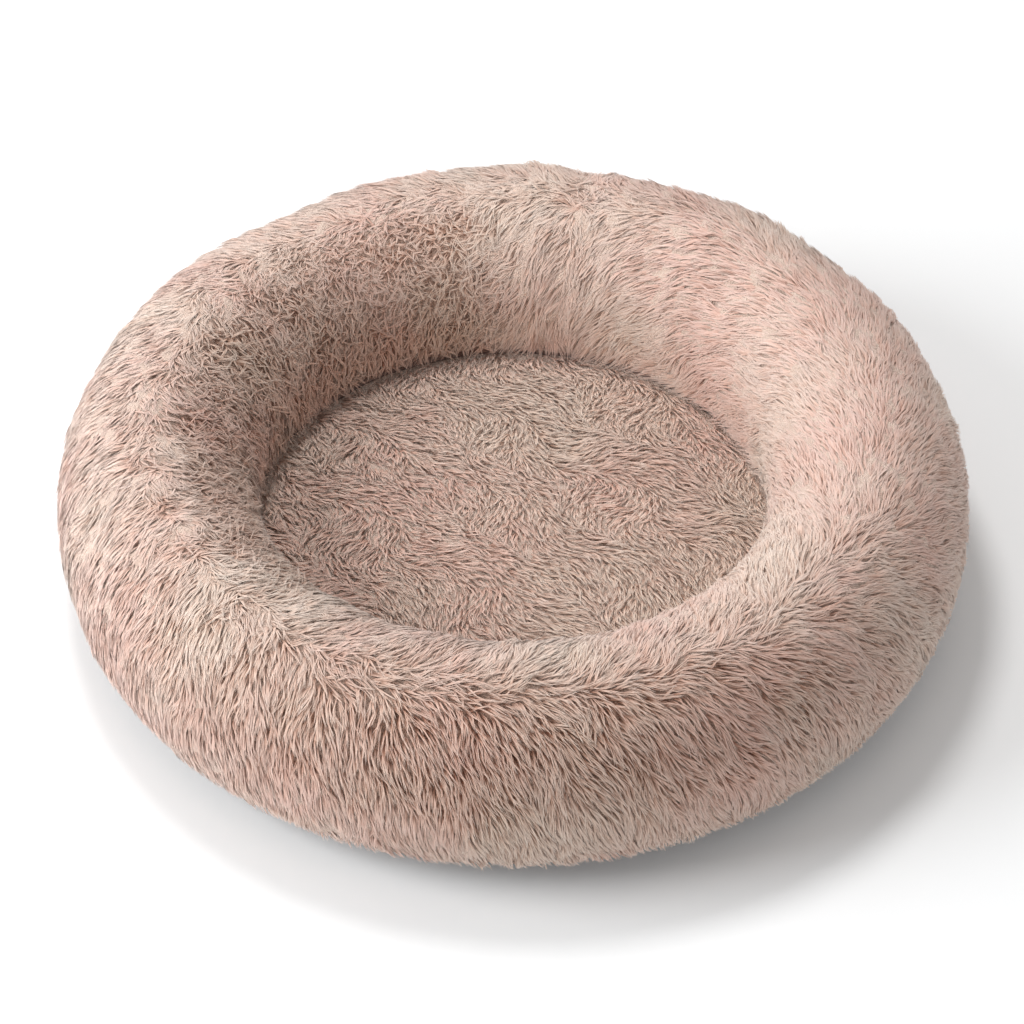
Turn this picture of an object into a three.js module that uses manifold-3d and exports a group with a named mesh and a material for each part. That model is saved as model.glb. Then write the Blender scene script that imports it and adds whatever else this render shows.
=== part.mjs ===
// Round plush pet bed: a stuffed ring round a crowned sleeping floor, in a zip-off cover with a non-slip base.
// Millimetres, +Z up. The origin is on the ground under the middle of the bed, and the front of the bed faces -Y.
import * as THREE from "three";
import { mergeVertices } from "three/addons/utils/BufferGeometryUtils.js";
import Module from "manifold-3d";

const wasm = await Module();
wasm.setup();

// Cover and ring
const bedDiameter = 1200; // over the pile
const bedHeight = 280; // ground to the crest of the pile
const ringWidth = 264; // across the section of the stuffed ring, over the pile
const pileDepth = 24; // knitted backing and lying pile together
const floorRise = 104; // ground to the middle of the sleeping floor, over the pile
const floorCrown = 18; // how much higher the floor is in the middle than at its seam
const floorTuck = 10; // how far the floor's edge reaches in under the wall
const outerSeamHeight = 50; // where the plush wall's backing ends above the ground, on the outside
const baseThickness = 2.6; // coated base cloth with its grip dots
const groundSink = 10; // how far the stuffed ring is flattened where it bears on the ground
const seamTapeWidth = 14;
const seamTapeThickness = 2.5;

// Liners and fillings
const linerThickness = 1.5;
const padShoulder = 8; // how far the floor pad's shoulder drops from the edge of its crown
const padBottomInset = 36; // how much narrower the floor pad is where it lies on the base

// Zip between the plush wall and the base, across the back of the bed
const tapeWidth = 13;
const tapeThickness = 0.8;
const coilWidth = 2.4;
const coilHeight = 1.9;
const stopSpace = 6; // at each end of the zip, kept free of coil for the stop
const stopLength = 4.8;
const stopHeight = 1.6;

// Zip slider and its pull
const sliderLength = 14;
const sliderRoom = 1.2; // from the slider to the base cloth beside it
const plateThickness = 0.9;
const flangeWidth = 1.8;
const dividerWidth = 0.6;
const dividerLength = 4;
const bridgeLength = 8;
const bridgeWidth = 2.4;
const bridgeThickness = 1;
const bridgeTunnel = 2.6; // clear height under the bridge
const pullBarDiameter = 1.4;
const pullArmWidth = 1.4;
const pullArmRoom = 0.5; // between the pull's arms and the bridge
const pullEyeReach = 5.4; // from the bar's axis to the far end of the eye
const pullLength = 30; // from the bar's axis to the tip
const pullWidth = 9;
const pullThickness = 1.2;

// Clearances
const seatGap = 0.3; // between pieces that touch
const wallGap = 1.2; // from the wall's foot to the zip's upper tape
const slideClearance = 0.4;
const cutOverrun = 1;
const weldDistance = 0.001;

// Layout, in degrees
const wallPanels = 3;
const backSeamAzimuth = 79; // the panel seam that shows behind the crest
const rowStep = 5;
const coreStep = 2 * rowStep;
const zipStep = rowStep / 2;
const zipHalfArc = 8 * coreStep;

// Divisions of the sections
const quarterSteps = 5;
const footSteps = 2;
const baseRimSteps = 4;
const innerFootSteps = 3;
const floorSteps = 5;

const undersidePower = 2.3; // 2 is an ellipse, and more is squarer

// Swells and hollows of the stuffed ring: azimuth, rise as a share of the pile depth, and spread in degrees.
const swellShares = [
  { at: 28, rise: 0.2, spread: 6 },
  { at: 53, rise: 0.33, spread: 8 },
  { at: 87, rise: 0.24, spread: 5 },
  { at: 126, rise: -0.34, spread: 9 },
  { at: 150, rise: 0.1, spread: 7 },
  { at: 182, rise: 0.16, spread: 12 },
  { at: 240, rise: 0.1, spread: 14 },
  { at: 285, rise: -0.12, spread: 12 },
  { at: 340, rise: -0.18, spread: 13 },
];
// Creases where the wall is gathered in to the floor: rows of the panels from the back seam, and depths as
// shares of the pile depth.
const creaseShares = [
  { row: 6, depth: 0.35 },
  { row: 9, depth: 0.3 },
  { row: 13, depth: 0.25 },
  { row: 17, depth: 0.35 },
  { row: 21, depth: 0.45 },
  { row: 27, depth: 0.45 },
  { row: 30, depth: 0.35 },
  { row: 33, depth: 0.4 },
  { row: 37, depth: 0.2 },
  { row: 42, depth: 0.2 },
  { row: 53, depth: 0.2 },
  { row: 59, depth: 0.25 },
  { row: 65, depth: 0.25 },
];
const creaseSpread = 3;
const creaseMiddleShare = 0.76; // where across the wall the gathers are deepest, from its outer to its inner edge
const creaseReachShare = 0.17;
const seamDepthShare = 0.15; // the cross seams, pinched into the pile all the way over the crest
const seamSpread = 3;
const seamFadeShare = 0.3;

const plushRose = new THREE.Color(0.76, 0.62, 0.56);
const baseCloth = new THREE.Color(0.33, 0.29, 0.28);
const linerWhite = new THREE.Color(0.9, 0.89, 0.87);
const fibreWhite = new THREE.Color(0.96, 0.96, 0.95);
const tapeRose = new THREE.Color(0.62, 0.5, 0.46);
const coilRose = new THREE.Color(0.55, 0.44, 0.4);
const sliderGrey = new THREE.Color(0.5, 0.5, 0.52);

const { degToRad, radToDeg, euclideanModulo, lerp } = THREE.MathUtils;
const quarter = Math.PI / 2;
const bed = new THREE.Group();

function material(color, roughness, metalness = 0) {
  return new THREE.MeshStandardMaterial({ color, roughness, metalness });
}

function addPiece(name, geometry, finish, parent = bed) {
  geometry.computeVertexNormals();
  const mesh = new THREE.Mesh(geometry, finish);
  mesh.name = name;
  parent.add(mesh);
}

function at(radius, height) {
  return new THREE.Vector2(radius, height);
}

function spread(from, to, steps) {
  return Array.from({ length: steps + 1 }, (_, i) => lerp(from, to, i / steps));
}

// Finds the turn between two others at which a measure reaches its target.
function findTurn(measure, target, low, high) {
  const falling = measure(low) > measure(high);
  let [below, above] = [low, high];
  for (let i = 0; i < 40; i += 1) {
    const middle = (below + above) / 2;
    if (measure(middle) > target === falling) below = middle;
    else above = middle;
  }
  return (below + above) / 2;
}

// Section of the stuffed core
// A place on it is given by its turn: 0 is the outermost point, a quarter turn the crest, and a half turn the
// innermost point. The other surfaces of the ring are this line moved out along its normal.
const ringCentre = bedDiameter / 2 - ringWidth / 2;
const ringMid = bedHeight / 2;
const coreHalfWidth = ringWidth / 2 - pileDepth;
const coreRise = ringMid - pileDepth;
const coreFloor = baseThickness + seatGap;
const coreDrop = ringMid - coreFloor + groundSink;

function corePoint(turn) {
  const across = Math.cos(turn);
  const up = Math.sin(turn);
  if (up >= 0) return at(ringCentre + coreHalfWidth * across, ringMid + coreRise * up);
  const power = 2 / undersidePower;
  const reach = coreHalfWidth * Math.sign(across) * Math.abs(across) ** power;
  return at(ringCentre + reach, Math.max(coreFloor, ringMid - coreDrop * Math.abs(up) ** power));
}

function offCore(turn, distance) {
  const nudge = 0.01;
  const along = corePoint(turn + nudge).sub(corePoint(turn - nudge));
  const normal = at(along.y, -along.x).normalize();
  return corePoint(turn).add(normal.multiplyScalar(distance));
}

// How far below its widest line the core's side is at a height, as a turn.
function turnBelow(height) {
  return Math.asin(((ringMid - height) / coreDrop) ** (undersidePower / 2));
}

// The edges of the plush wall, and the stations that all surfaces of the ring share so that they nest
const flatTurn = turnBelow(coreFloor);
const floorEdgeTop = floorRise - floorCrown;
const wallFrom = -turnBelow(outerSeamHeight);
const wallTo = findTurn((turn) => offCore(turn, pileDepth).y, floorEdgeTop + seatGap, Math.PI, Math.PI + flatTurn);
const wallTurns = [
  ...spread(wallFrom, 0, footSteps),
  ...spread(0, quarter, quarterSteps).slice(1),
  ...spread(quarter, Math.PI, quarterSteps).slice(1),
  wallTo,
];
const underTurns = [
  ...spread(wallTo, Math.PI + flatTurn, innerFootSteps),
  ...spread(2 * Math.PI - flatTurn, 2 * Math.PI + wallFrom, baseRimSteps),
];

// Solids of revolution and their parts
// sectionAt(azimuth, row) gives the same number of points at every azimuth, with the radius to the right.
function sweepRound(sectionAt, from, to, step) {
  const whole = to - from >= 360;
  const steps = Math.round((to - from) / step);
  const rows = spread(from, to, steps).slice(0, whole ? steps : steps + 1);
  const clockwise = THREE.ShapeUtils.isClockWise(sectionAt(from, 0));
  const sections = rows.map((azimuth, row) => {
    const section = sectionAt(azimuth, row);
    return clockwise ? section.reverse() : section;
  });
  const count = sections[0].length;
  const positions = [];
  rows.forEach((azimuth, row) => {
    const angle = degToRad(azimuth);
    for (const point of sections[row]) {
      positions.push(point.x * Math.cos(angle), point.x * Math.sin(angle), point.y);
    }
  });
  const faces = [];
  for (let row = 0; row < steps; row += 1) {
    const here = row * count;
    const next = ((row + 1) % rows.length) * count;
    for (let i = 0; i < count; i += 1) {
      const j = (i + 1) % count;
      faces.push([here + i, next + i, next + j], [here + i, next + j, here + j]);
    }
  }
  if (!whole) {
    for (const face of THREE.ShapeUtils.triangulateShape(sections[0], [])) {
      faces.push(face, face.map((i) => steps * count + i).reverse());
    }
  }
  const geometry = new THREE.BufferGeometry();
  geometry.setAttribute("position", new THREE.Float32BufferAttribute(positions, 3));
  geometry.setIndex(faces.flat());
  return weld(geometry);
}

// Merges shared points and drops the faces that this flattens, such as those on the axis.
function weld(geometry) {
  const merged = mergeVertices(geometry, weldDistance);
  const corners = Array.from(merged.index.array);
  const kept = [];
  for (let i = 0; i < corners.length; i += 3) {
    const [a, b, c] = corners.slice(i, i + 3);
    if (a !== b && b !== c && a !== c) kept.push(a, b, c);
  }
  merged.setIndex(kept);
  return merged;
}

function revolve(section, step = coreStep, from = backSeamAzimuth, to = backSeamAzimuth + 360) {
  return sweepRound(() => [...section], from, to, step);
}

function solidOf(geometry) {
  geometry.deleteAttribute("normal");
  geometry.deleteAttribute("uv");
  const merged = mergeVertices(geometry, weldDistance);
  const triVerts = new Uint32Array(merged.index.array);
  return new wasm.Manifold(
    new wasm.Mesh({ numProp: 3, vertProperties: merged.attributes.position.array, triVerts }),
  );
}

function geometryOf(solid) {
  const { vertProperties, triVerts } = solid.getMesh();
  const geometry = new THREE.BufferGeometry();
  geometry.setAttribute("position", new THREE.Float32BufferAttribute(vertProperties, 3));
  geometry.setIndex(Array.from(triVerts));
  return geometry;
}

// A box from its length, width and span of heights, centred at x and y.
function block(length, width, [low, high], x = 0, y = 0) {
  return solidOf(new THREE.BoxGeometry(length, width, high - low).translate(x, y, (low + high) / 2));
}

// Plush wall of the ring
function apart(azimuth, other) {
  return euclideanModulo(azimuth - other + 180, 360) - 180;
}

function bell(distance, width) {
  return Math.exp(-((distance / width) ** 2));
}

// The pile's own depth at a place on the wall: swells, gathers and cross seams, which fade out at both edges.
function pileAt(azimuth, turn) {
  const acrossShare = (turn - wallFrom) / (wallTo - wallFrom);
  const fade = Math.sin(Math.PI * acrossShare) ** 2;
  const gather = fade * bell(acrossShare - creaseMiddleShare, creaseReachShare);
  let share = 1;
  for (const swell of swellShares) {
    share += fade * swell.rise * bell(apart(azimuth, swell.at), swell.spread);
  }
  for (const crease of creaseShares) {
    share -= gather * crease.depth * bell(apart(azimuth, backSeamAzimuth + crease.row * rowStep), creaseSpread);
  }
  for (let i = 0; i < wallPanels; i += 1) {
    const seam = backSeamAzimuth + (i * 360) / wallPanels;
    share -= fade ** seamFadeShare * seamDepthShare * bell(apart(azimuth, seam), seamSpread);
  }
  return pileDepth * share;
}

// Every second row of the backing lies on the straight side of the core, which has half as many rows.
function wallSection(azimuth, row) {
  const outside = wallTurns.map((turn) => offCore(turn, pileAt(azimuth, turn)));
  const backingShare = row % 2 ? Math.cos(degToRad(rowStep)) : 1;
  const inside = wallTurns.map((turn) => {
    const point = offCore(turn, seatGap);
    return at(point.x * backingShare, point.y);
  });
  return [...outside, ...inside.reverse()];
}

// Each panel is drawn in at both ends by the seam gap.
function makeWallPanels() {
  const names = ["wall_panel_left", "wall_panel_front", "wall_panel_right"];
  const endGap = radToDeg(seatGap / (ringCentre - ringWidth / 2));
  const sector = 360 / wallPanels;
  names.forEach((name, i) => {
    const middle = backSeamAzimuth + (i + 0.5) * sector;
    const half = sector / 2 - endGap / 2;
    const geometry = sweepRound(wallSection, middle - half, middle + half, rowStep);
    addPiece(name, geometry, material(plushRose, 0.95));
  });
}

// Sleeping floor
const wallFoot = offCore(wallTo, pileDepth); // where the wall's pile meets the floor
const floorRadius = wallFoot.x + floorTuck;

// The line of the floor's crown from the middle to the wall, and on flat to the floor's edge.
function crownLine(edgeHeight) {
  const crown = spread(0, 1, floorSteps).map((share) => {
    return at(wallFoot.x * share, edgeHeight + floorCrown * (1 - share ** 2));
  });
  return [...crown, at(floorRadius, edgeHeight)];
}

function makeFloor() {
  const section = [...crownLine(floorEdgeTop), ...crownLine(floorEdgeTop - pileDepth).reverse()];
  addPiece("floor_panel", revolve(section), material(plushRose, 0.95));

  const tapeFrom = floorRadius + seatGap;
  const tape = [
    at(tapeFrom, floorEdgeTop - seamTapeWidth),
    at(tapeFrom + seamTapeThickness, floorEdgeTop - seamTapeWidth),
    at(tapeFrom + seamTapeThickness, floorEdgeTop),
    at(tapeFrom, floorEdgeTop),
  ];
  addPiece("floor_seam_tape", revolve(tape), material(tapeRose, 0.9));
}

// Floor pad under the plush: two liner cloths seamed at the widest line, round a fibre filling
const padTop = floorEdgeTop - pileDepth - seatGap;
const shoulderHeight = padTop - padShoulder;
const padRimHeight = (coreFloor + shoulderHeight) / 2;

// How far out the floor pad may reach at a height, beside the ring.
function padLimit(height) {
  return offCore(Math.PI + turnBelow(height), 2 * seatGap).x;
}

function padUpper(inset) {
  const crown = crownLine(padTop - inset);
  crown.push(at((floorRadius + padLimit(shoulderHeight)) / 2 - inset, shoulderHeight - inset));
  crown.push(at(padLimit(padRimHeight) - inset, padRimHeight + seatGap / 2));
  return crown;
}

function padLower(inset) {
  const rim = padLimit(padRimHeight);
  return [
    at(rim - inset, padRimHeight - seatGap / 2),
    at(rim - padBottomInset / 4 - inset, (padRimHeight + coreFloor) / 2),
    at(rim - padBottomInset, coreFloor + inset),
    at(0, coreFloor + inset),
  ];
}

function makeFloorPad() {
  const cloth = material(linerWhite, 0.9);
  const fillInset = linerThickness + seatGap;
  addPiece("pad_liner_top", revolve([...padUpper(0), ...padUpper(linerThickness).reverse()]), cloth);
  addPiece("pad_liner_bottom", revolve([...padLower(0), ...padLower(linerThickness).reverse()]), cloth);
  addPiece("pad_fibre_fill", revolve([...padUpper(fillInset), ...padLower(fillInset)]), material(fibreWhite, 1));
}

// Ring filling: a sleeve of two seamed cloths round the fibre
function makeRingInsert() {
  const cloth = material(linerWhite, 0.9);
  const halfSeam = seatGap / (2 * coreHalfWidth);
  const sleeve = (turns) => {
    const open = [turns[0] + halfSeam, ...turns.slice(1, -1), turns.at(-1) - halfSeam];
    const outside = open.map((turn) => corePoint(turn));
    return [...outside, ...open.map((turn) => offCore(turn, -linerThickness)).reverse()];
  };
  addPiece("ring_liner_top", revolve(sleeve(wallTurns)), cloth);
  addPiece("ring_liner_bottom", revolve(sleeve(underTurns)), cloth);
  const fill = [...wallTurns, ...underTurns.slice(1, -1)].map((turn) => offCore(turn, -linerThickness - seatGap));
  addPiece("ring_fibre_fill", revolve(fill), material(fibreWhite, 1));
}

// Zip band, laid straight across the curve of the core below the wall
// Places on it are measured from its middle line: down towards the ground, and out away from the core.
const zipGap = dividerWidth + 2 * slideClearance;
const bandWidth = 2 * tapeWidth + zipGap;
const zipFrom = backSeamAzimuth - zipHalfArc;
const zipTo = backSeamAzimuth + zipHalfArc;
const bandStart = corePoint(wallFrom);
const bandEndTurn = findTurn((turn) => corePoint(turn).distanceTo(bandStart), bandWidth + wallGap, -flatTurn, wallFrom);
const bandEnd = corePoint(bandEndTurn);
const bandDown = bandEnd.clone().sub(bandStart).normalize();
const bandOut = at(-bandDown.y, bandDown.x);
const bandSag = corePoint((wallFrom + bandEndTurn) / 2).distanceTo(bandStart.clone().lerp(bandEnd, 0.5));
const standOff = bandSag + seatGap + baseThickness + 2 * seatGap;
const bandMiddle = bandStart.clone()
  .addScaledVector(bandDown, wallGap + bandWidth / 2)
  .addScaledVector(bandOut, standOff);

function onBand(down, out) {
  return bandMiddle.clone().addScaledVector(bandDown, down).addScaledVector(bandOut, out);
}

function bandStrip([from, to], [low, high]) {
  return [onBand(from, low), onBand(to, low), onBand(to, high), onBand(from, high)];
}

const coilLow = tapeThickness + seatGap;
const coilTop = coilLow + coilHeight;

function makeZipHalves() {
  const edge = zipGap / 2;
  const cloth = material(tapeRose, 0.9);
  const nylon = material(coilRose, 0.45);
  const tapeTrim = radToDeg(seatGap / bandMiddle.x);
  const coilTrim = radToDeg(stopSpace / bandMiddle.x);
  for (const [side, name] of [[-1, "upper"], [1, "lower"]]) {
    const tape = bandStrip([side * edge, side * (edge + tapeWidth)], [0, tapeThickness]);
    const coil = bandStrip([side * edge, side * (edge + coilWidth)], [coilLow, coilTop]);
    addPiece(`zip_tape_${name}`, revolve(tape, zipStep, zipFrom + tapeTrim, zipTo - tapeTrim), cloth);
    addPiece(`zip_coil_${name}`, revolve(coil, zipStep, zipFrom + coilTrim, zipTo - coilTrim), nylon);
  }
}

// A group at an azimuth of the band whose x runs along the zip, y up the band and z away from the core.
function bandGroup(azimuth, out) {
  const angle = degToRad(azimuth);
  const inSpace = (v) => new THREE.Vector3(v.x * Math.cos(angle), v.x * Math.sin(angle), v.y);
  const along = new THREE.Vector3(-Math.sin(angle), Math.cos(angle), 0);
  const group = new THREE.Group();
  const axes = new THREE.Matrix4().makeBasis(along, inSpace(bandDown).negate(), inSpace(bandOut));
  group.setRotationFromMatrix(axes);
  group.position.copy(inSpace(onBand(0, out)));
  bed.add(group);
  return group;
}

function makeZipStops() {
  const metal = material(sliderGrey, 0.35, 0.9);
  const inset = radToDeg(stopSpace / 2 / bandMiddle.x);
  const places = { zip_stop_open_end: zipFrom + inset, zip_stop_closed_end: zipTo - inset };
  for (const [name, azimuth] of Object.entries(places)) {
    const clip = block(stopLength, 2 * coilWidth + zipGap, [coilLow, coilLow + stopHeight]);
    addPiece(name, geometryOf(clip), metal, bandGroup(azimuth, 0));
  }
}

const sliderWidth = 2 * (coilWidth + flangeWidth + slideClearance) + zipGap;
const outerPlate = [coilTop + slideClearance, coilTop + slideClearance + plateThickness];
const innerPlate = [-slideClearance - plateThickness, -slideClearance];
const parkedAzimuth = zipTo - radToDeg((stopSpace + sliderLength / 2 + slideClearance) / bandMiddle.x);

function makeSlider() {
  const flange = [tapeThickness + slideClearance, outerPlate[1]];
  const flangeY = (sliderWidth - flangeWidth) / 2;
  const bridgeTop = outerPlate[1] + bridgeTunnel + bridgeThickness;
  const body = block(sliderLength, sliderWidth, innerPlate)
    .add(block(sliderLength, sliderWidth, outerPlate))
    .add(block(sliderLength, flangeWidth, flange, 0, flangeY))
    .add(block(sliderLength, flangeWidth, flange, 0, -flangeY))
    .add(block(dividerLength, dividerWidth, [innerPlate[0], outerPlate[1]], (sliderLength - dividerLength) / 2))
    .add(block(bridgeLength, bridgeWidth, [outerPlate[0], bridgeTop]))
    .subtract(block(
      bridgeLength - 2 * bridgeThickness,
      bridgeWidth + 2 * cutOverrun,
      [outerPlate[1], outerPlate[1] + bridgeTunnel],
    ));
  addPiece("zip_slider", geometryOf(body), material(sliderGrey, 0.35, 0.9), bandGroup(parkedAzimuth, 0));
}

// The pull hangs straight out from the band when nobody holds it.
function makePull() {
  const armInside = bridgeWidth / 2 + pullArmRoom;
  const armOutside = armInside + pullArmWidth;
  const tipCentre = pullLength - pullWidth / 2;
  const outline = new THREE.Shape();
  outline.moveTo(0, armOutside);
  outline.lineTo(0, -armOutside);
  outline.lineTo(pullEyeReach, -pullWidth / 2);
  outline.absarc(tipCentre, 0, pullWidth / 2, -quarter, quarter, false);
  outline.lineTo(pullEyeReach, pullWidth / 2);
  outline.closePath();
  const plate = new THREE.ExtrudeGeometry(outline, { depth: pullThickness, bevelEnabled: false, curveSegments: 10 });
  plate.translate(0, 0, -pullThickness / 2);
  const bar = new THREE.CylinderGeometry(pullBarDiameter / 2, pullBarDiameter / 2, 2 * armOutside, 16);
  const cutHeight = pullThickness / 2 + cutOverrun;
  const eye = block(2 * pullEyeReach, 2 * armInside, [-cutHeight, cutHeight]);
  const pull = solidOf(plate).subtract(eye).add(solidOf(bar));
  const hanging = bandGroup(parkedAzimuth, outerPlate[1] + bridgeTunnel / 2).rotateY(-quarter);
  addPiece("zip_pull", geometryOf(pull), material(sliderGrey, 0.35, 0.9), hanging);
}

// Base cloth: flat on the ground, turned up round the foot of the ring to the wall, with a window for the zip
function makeBase() {
  const turns = spread(-flatTurn, wallFrom - seatGap / coreHalfWidth, baseRimSteps);
  const outside = turns.map((turn) => offCore(turn, seatGap + baseThickness));
  const inside = turns.map((turn) => offCore(turn, seatGap));
  outside[0].y = 0;
  inside[0].y = baseThickness;
  const section = [at(0, 0), ...outside, ...inside.reverse(), at(0, baseThickness)];
  const depth = [-standOff - cutOverrun, cutOverrun];
  const window = bandStrip([-bandWidth / 2 - wallGap - cutOverrun, sliderWidth / 2 + sliderRoom], depth);
  const cloth = solidOf(revolve(section)).subtract(solidOf(revolve(window, coreStep, zipFrom, zipTo)));
  addPiece("base_panel", geometryOf(cloth), material(baseCloth, 0.8));
}

makeWallPanels();
makeFloor();
makeFloorPad();
makeRingInsert();
makeZipHalves();
makeZipStops();
makeSlider();
makePull();
makeBase();

export default bed;
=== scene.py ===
import math
import bpy
import numpy as np
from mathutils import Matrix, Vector


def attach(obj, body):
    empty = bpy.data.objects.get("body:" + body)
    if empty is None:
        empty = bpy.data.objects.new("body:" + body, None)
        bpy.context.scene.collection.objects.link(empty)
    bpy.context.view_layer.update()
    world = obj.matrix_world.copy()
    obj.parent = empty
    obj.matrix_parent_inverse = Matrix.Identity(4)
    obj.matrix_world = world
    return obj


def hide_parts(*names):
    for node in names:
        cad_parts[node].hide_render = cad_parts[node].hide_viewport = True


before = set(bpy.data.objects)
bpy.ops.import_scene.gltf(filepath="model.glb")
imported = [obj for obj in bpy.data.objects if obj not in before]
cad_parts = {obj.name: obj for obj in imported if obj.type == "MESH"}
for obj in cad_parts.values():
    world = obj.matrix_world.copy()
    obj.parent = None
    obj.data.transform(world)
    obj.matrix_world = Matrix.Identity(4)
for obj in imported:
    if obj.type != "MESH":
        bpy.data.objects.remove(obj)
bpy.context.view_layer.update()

print("frame loaded")

# The ring's section, in metres. A place on the ring is an azimuth and a turn round the section:
# turn 0 is outermost, 90 degrees the crest and 180 innermost.
ring = {
    "centre": 0.468, "middle": 0.140,
    "halfWidth": 0.108, "rise": 0.116, "drop": 0.1471, "flatHeight": 0.0029, "underPower": 2.3,
    "outerSeamHeight": 0.050, "innerSeamTurn": 196.53,
    "pile": 0.024,  # backing and lying pile together
    "perTurn": 0.137, "perAzimuth": 0.47,  # metres to a radian, up the section and round the bed
    "panels": 3, "backSeam": 79, "seamDepth": 0.12, "seamSpread": 3, "seamFade": 0.3,
    # swells of the stuffing: azimuth, rise as a share of the pile, spread in degrees
    "swells": [(28, .2, 6), (53, .33, 8), (87, .24, 5), (126, -.34, 9), (150, .1, 7), (182, .16, 12),
               (240, .1, 14), (285, -.12, 12), (340, -.18, 13)],
    # creases of the gathers: degrees from the back seam, depth as a share of the pile
    "creases": [(30, .35), (45, .3), (65, .25), (85, .35), (105, .45), (135, .45), (150, .35), (165, .4),
                (185, .2), (210, .2), (265, .2), (295, .25), (325, .25)],
    "creaseSpread": 3, "gather": (0.76, 0.17),  # the creases' middle and spread, as shares of the way up
}
# Past the panel's outer edge the pile follows the ring's underside, past its inner edge it lies on the floor.
hem = {"under": 0.35, "thinning": 0.5, "inward": 0.125, "sink": 0.1, "lowest": 0.004}
bedFloor = {"edgeHeight": 0.086, "crown": 0.018, "crownTo": 1.03, "pile": 0.024, "undercoat": 0.0085,
            "underWall": 0.008, "pileInset": 0.004, "relief": (0.0012, 0.02, 6), "steps": (30, 6, 96)}
photoView = {"target": (0, 0, 0.1), "elevation": 43.5, "distance": 5.29, "lens": 140.03,
             "shift": (-0.00166, 0.00068)}
weld = 0.00002
sector = 360 / ring["panels"]
seams = [ring["backSeam"] + i * sector for i in range(ring["panels"])]
sides = ("left", "front", "right")
markLabels = ("markOne", "markTwo")


def inSpace(azimuth, radius, up):
    return np.stack([radius * np.cos(azimuth), radius * np.sin(azimuth), up + 0 * radius], -1)


def toward(angle):
    return np.stack([np.cos(angle), np.sin(angle)], -1)


def unit(vectors, least=1e-12):
    return vectors / (np.linalg.norm(vectors, axis=-1, keepdims=True) + least)


def bell(distance, spread):
    return np.exp(-(distance / spread) ** 2)


# From 0 to 1 as a value passes the middle; a negative width turns it round
def rising(value, middle, width):
    return 1 / (1 + np.exp(-(value - middle) / width))


def apart(azimuth, other):
    return (azimuth - other + 180) % 360 - 180


def corePoint(turn):
    across, up = np.cos(turn), np.sin(turn)
    power = 2 / ring["underPower"]
    under = up < 0
    reach = np.where(under, np.sign(across) * np.abs(across) ** power, across)
    radius = ring["centre"] + ring["halfWidth"] * reach
    below = np.maximum(ring["flatHeight"], ring["middle"] - ring["drop"] * np.abs(up) ** power)
    return radius, np.where(under, below, ring["middle"] + ring["rise"] * up)


def coreNormal(turn):
    nudge = 0.01
    r1, z1 = corePoint(turn + nudge)
    r0, z0 = corePoint(turn - nudge)
    size = np.hypot(r1 - r0, z1 - z0)
    return (z1 - z0) / size, (r0 - r1) / size


# The section moved out by a distance
def coreOffset(turn, distance):
    r, z = corePoint(turn)
    nr, nz = coreNormal(turn)
    return r + nr * distance, z + nz * distance


def turnBelow(height):
    return math.asin(((ring["middle"] - height) / ring["drop"]) ** (ring["underPower"] / 2))


wallFrom = -turnBelow(ring["outerSeamHeight"])
wallTo = math.radians(ring["innerSeamTurn"])
footRadius = float(coreOffset(wallTo, ring["pile"])[0])


# The pile's own depth at an azimuth in degrees and a turn, with its swells, gathers and seams
def pileAt(azimuth, turn):
    across = np.clip((turn - wallFrom) / (wallTo - wallFrom), 0, 1)
    fade = np.sin(np.pi * across) ** 2
    middle, spread = ring["gather"]
    gather = fade * bell(across - middle, spread)
    share = np.ones_like(across)
    for at, rise, spread in ring["swells"]:
        share = share + fade * rise * bell(apart(azimuth, at), spread)
    for at, depth in ring["creases"]:
        share = share - gather * depth * bell(apart(azimuth, ring["backSeam"] + at), ring["creaseSpread"])
    for seam in seams:
        notch = fade ** ring["seamFade"] * ring["seamDepth"]
        share = share - notch * bell(apart(azimuth, seam), ring["seamSpread"])
    return ring["pile"] * share


# Points over the wall: height is measured out from the tips of the pile.
def wallPoint(azimuth, turn, height):
    held = np.clip(turn, wallFrom - hem["under"], wallTo)
    past = np.clip((wallFrom + hem["under"] - held) / (2 * hem["under"]), 0, 1)
    out = pileAt(np.degrees(azimuth), held) * (1 - hem["thinning"] * past) + height
    r, z = coreOffset(held, out)
    inward = np.maximum(turn - wallTo, 0) * hem["inward"]
    return inSpace(azimuth, r - inward, np.maximum(z - inward * hem["sink"], hem["lowest"]))


def wallNormal(azimuth, turn):
    return inSpace(azimuth, *coreNormal(np.clip(turn, wallFrom - hem["under"], wallTo)))


def wallScale(azimuth, turn):
    radius = coreOffset(turn, ring["pile"])[0]
    return radius, np.full_like(radius, ring["perTurn"])


def floorPoint(x, y, height):
    share = np.hypot(x, y) / footRadius
    crown = bedFloor["crown"] * (1 - np.minimum(share, bedFloor["crownTo"]) ** 2)
    return np.stack([x, y, bedFloor["edgeHeight"] + crown + height], -1)


def floorNormal(x, y):
    slope = 2 * bedFloor["crown"] / footRadius ** 2
    return unit(np.stack([x * slope, y * slope, np.ones_like(x)], -1))


def floorScale(x, y):
    return np.ones_like(x), np.ones_like(x)


# Slow waves over the cloth that carry the locks, each with its strength, wavelength in metres and seed
def wave(points, strength, wavelength, seed):
    count, spread = 9, (0.7, 1.4)
    dice = np.random.default_rng(seed)
    way = unit(dice.normal(size=(count, 3)))
    rate = 2 * math.pi / (wavelength * dice.uniform(*spread, count))
    phase = dice.uniform(0, 2 * math.pi, count)
    return strength * (np.sin(points @ (way * rate[:, None]).T + phase).sum(-1) / math.sqrt(count / 2))


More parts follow.
